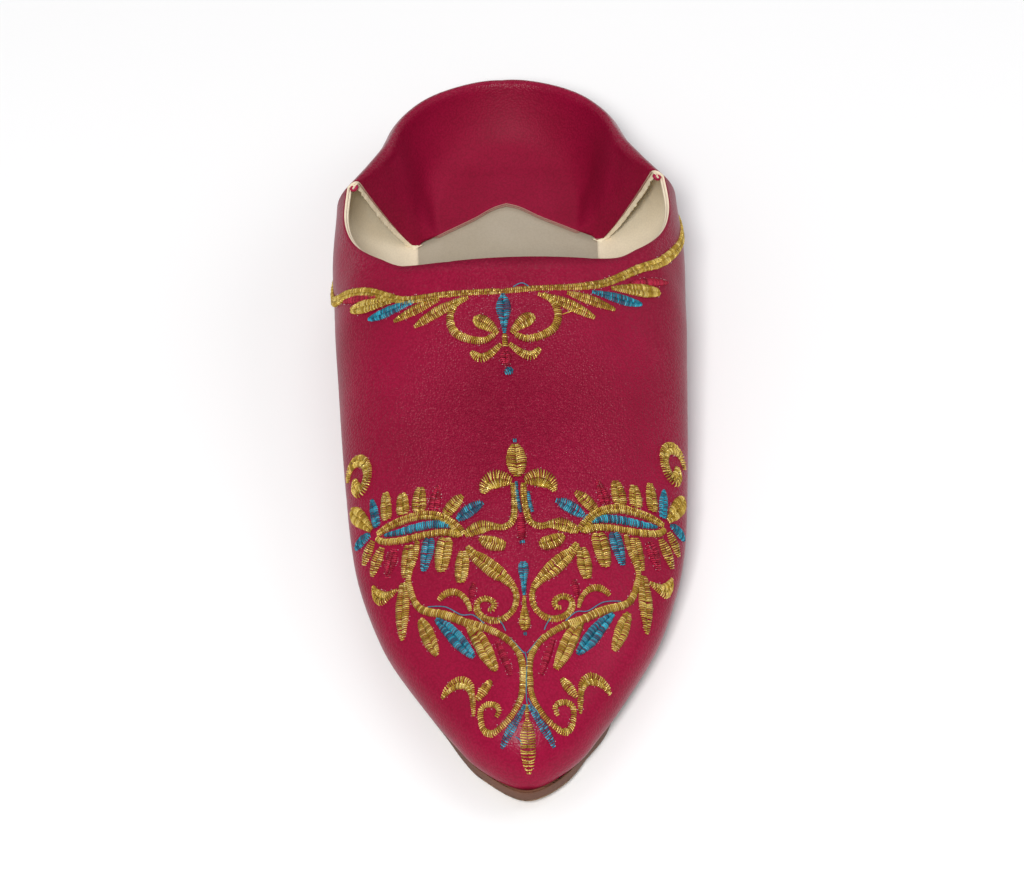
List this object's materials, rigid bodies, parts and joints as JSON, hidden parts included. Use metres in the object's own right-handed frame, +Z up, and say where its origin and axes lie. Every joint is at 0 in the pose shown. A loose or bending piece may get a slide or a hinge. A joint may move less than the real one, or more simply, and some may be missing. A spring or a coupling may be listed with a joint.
{
  "type": "babouche slipper",
  "caption": "Flat backless leather slipper with a pointed toe, its heel quarter folded down onto the insole, for a bare foot to slide into.",
  "frame": {"origin": "on the floor under the middle of the slipper's bounding box", "axes": "+Z up from the floor, +Y towards the heel, -Y towards the toe, X across the foot"},
  "size_m": [0.105, 0.2614, 0.0595],
  "materials": {
    "sole_leather": "brown sole leather, matt, cut edge",
    "insole_leather": "undyed cream leather, matt",
    "upper_leather": "raspberry dyed leather, fine grain, soft sheen, cream lining inside"
  },
  "bodies": {
    "root": {"outsole": "sole_leather", "insole": "insole_leather", "upper": "upper_leather"}
  },
  "joints": []
}
